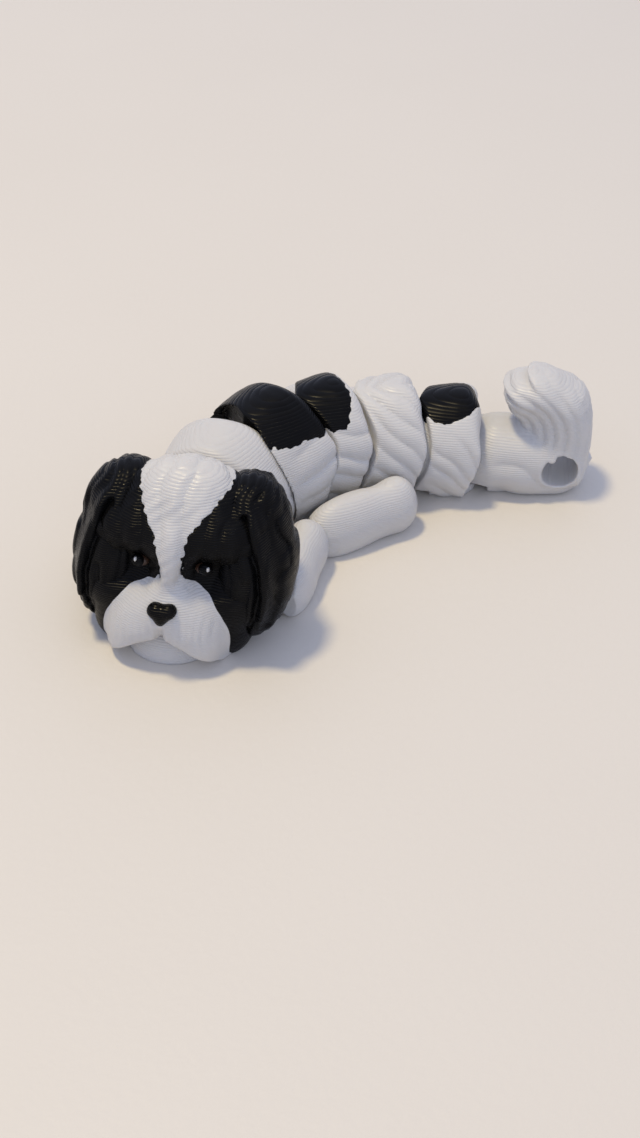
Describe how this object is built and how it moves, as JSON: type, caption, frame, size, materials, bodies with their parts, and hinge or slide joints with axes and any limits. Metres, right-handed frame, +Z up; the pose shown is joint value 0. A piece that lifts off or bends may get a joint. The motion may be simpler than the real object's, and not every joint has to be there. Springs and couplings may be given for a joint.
{
  "type": "flexi dog toy",
  "caption": "Small print-in-place articulated dog with hinged body links, hinged legs and a curled tail with a keyring hole.",
  "frame": {"origin": "middle of the waist link's flat underside", "axes": "+Z up, +X along the tail away from the head, the head lies towards -Y"},
  "size_m": [0.0683, 0.0597, 0.0252],
  "materials": {
    "white_pla": "satin 3D-printed plastic with fine layer lines, slightly translucent",
    "black_pla": "satin 3D-printed plastic with fine layer lines",
    "brown_pla": "satin printed plastic"
  },
  "bodies": {
    "head": {"head_shell": "white_pla", "nose": "black_pla", "left_face_patch": "black_pla", "right_face_patch": "black_pla", "left_ear": "black_pla", "right_ear": "black_pla", "left_iris": "brown_pla", "right_iris": "brown_pla", "left_pupil": "black_pla", "right_pupil": "black_pla", "left_glint": "white_pla", "right_glint": "white_pla"},
    "shoulder": {"shoulder": "white_pla"},
    "chest": {"chest": "white_pla", "chest_saddle": "black_pla"},
    "waist": {"waist": "white_pla", "waist_saddle": "black_pla"},
    "hips": {"hips": "white_pla"},
    "rump": {"rump": "white_pla", "rump_patch": "black_pla"},
    "tail": {"tail": "white_pla"},
    "front_left_leg": {"front_left_leg": "white_pla"},
    "front_right_leg": {"front_right_leg": "white_pla"},
    "hind_left_leg": {"hind_left_leg": "white_pla"},
    "hind_right_leg": {"hind_right_leg": "white_pla"}
  },
  "joints": [
    {"name": "chest_hinge", "type": "hinge", "parent": "waist", "child": "chest", "pos_m": [-0.00598, -0.00345, 0.007], "axis": [0, 0, 1], "range_deg": [-46, 0]},
    {"name": "shoulder_hinge", "type": "hinge", "parent": "chest", "child": "shoulder", "pos_m": [-0.01163, -0.01096, 0.007], "axis": [0, 0, 1], "range_deg": [-46, 0]},
    {"name": "neck_hinge", "type": "hinge", "parent": "shoulder", "child": "head", "pos_m": [-0.01386, -0.01988, 0.007], "axis": [0, 0, 1], "range_deg": [-22, 6]},
    {"name": "hips_hinge", "type": "hinge", "parent": "waist", "child": "hips", "pos_m": [0.00165, 0.00095, 0.007], "axis": [0, 0, 1], "range_deg": [-3, 33]},
    {"name": "rump_hinge", "type": "hinge", "parent": "hips", "child": "rump", "pos_m": [0.01082, 0.00341, 0.007], "axis": [0, 0, 1], "range_deg": [-5, 29]},
    {"name": "tail_hinge", "type": "hinge", "parent": "rump", "child": "tail", "pos_m": [0.01967, 0.00434, 0.007], "axis": [0, 0, 1], "range_deg": [-5, 26]},
    {"name": "front_left_leg_hinge", "type": "hinge", "parent": "shoulder", "child": "front_left_leg", "pos_m": [-0.00081, -0.01881, 0.007], "axis": [0, 0, 1], "range_deg": [0, 15]},
    {"name": "hind_left_leg_hinge", "type": "hinge", "parent": "hips", "child": "hind_left_leg", "pos_m": [0.01061, -0.00855, 0.007], "axis": [0, 0, 1], "range_deg": [0, 15]},
    {"name": "front_right_leg_hinge", "type": "hinge", "parent": "shoulder", "child": "front_right_leg", "pos_m": [-0.02487, -0.01281, 0.007], "axis": [0, 0, -1], "range_deg": [0, 15]},
    {"name": "hind_right_leg_hinge", "type": "hinge", "parent": "hips", "child": "hind_right_leg", "pos_m": [0.00466, 0.01366, 0.007], "axis": [0, 0, -1], "range_deg": [0, 15]}
  ]
}
